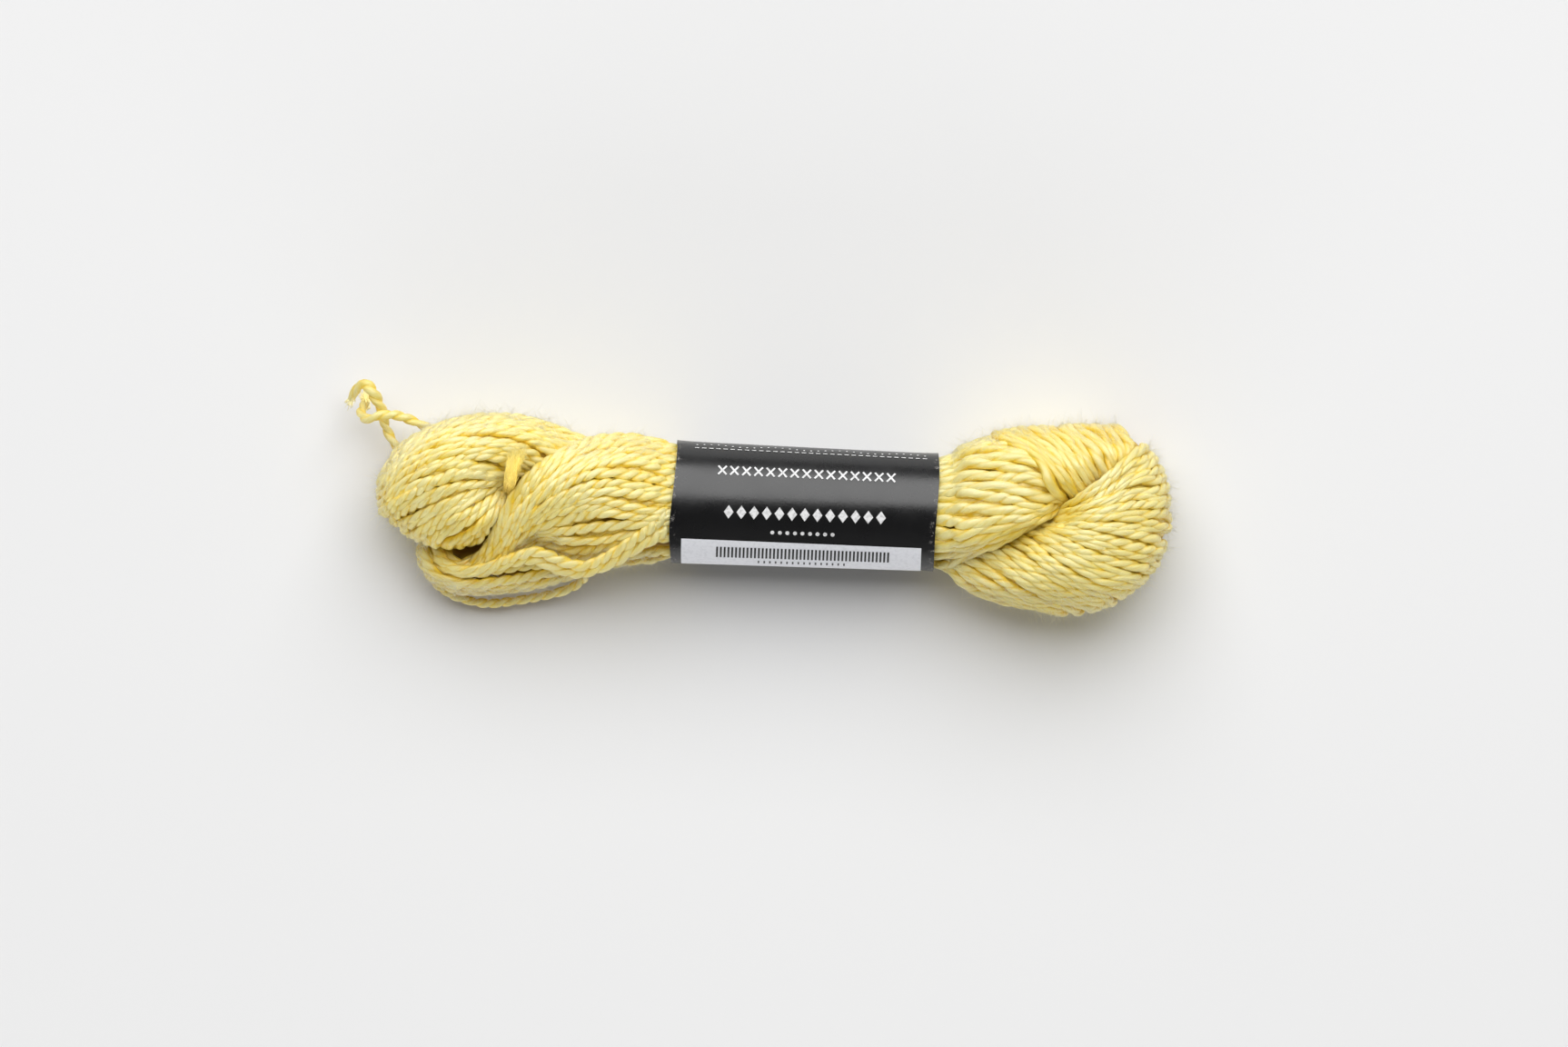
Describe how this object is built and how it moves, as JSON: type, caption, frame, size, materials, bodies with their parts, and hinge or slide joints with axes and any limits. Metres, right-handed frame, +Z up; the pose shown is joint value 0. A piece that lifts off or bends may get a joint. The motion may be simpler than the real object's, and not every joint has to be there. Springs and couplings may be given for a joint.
{
  "type": "skein of embroidery floss",
  "caption": "Twisted, tucked skein of pale yellow silk embroidery thread held by a dark paper band, with a tie thread at its tucked end.",
  "frame": {"origin": "on the surface the skein lies on, under the middle of the hank", "axes": "+X along the skein from its tucked end to its folded end, +Z up off the surface"},
  "size_m": [0.1053, 0.0302, 0.0187],
  "materials": {
    "silk_thread": "soft silk sheen, two-ply twisted thread",
    "label_paper": "satin coated paper, black"
  },
  "bodies": {
    "root": {"hank": "silk_thread", "tie_thread": "silk_thread", "cut_end": "silk_thread", "label_band": "label_paper"}
  },
  "joints": []
}
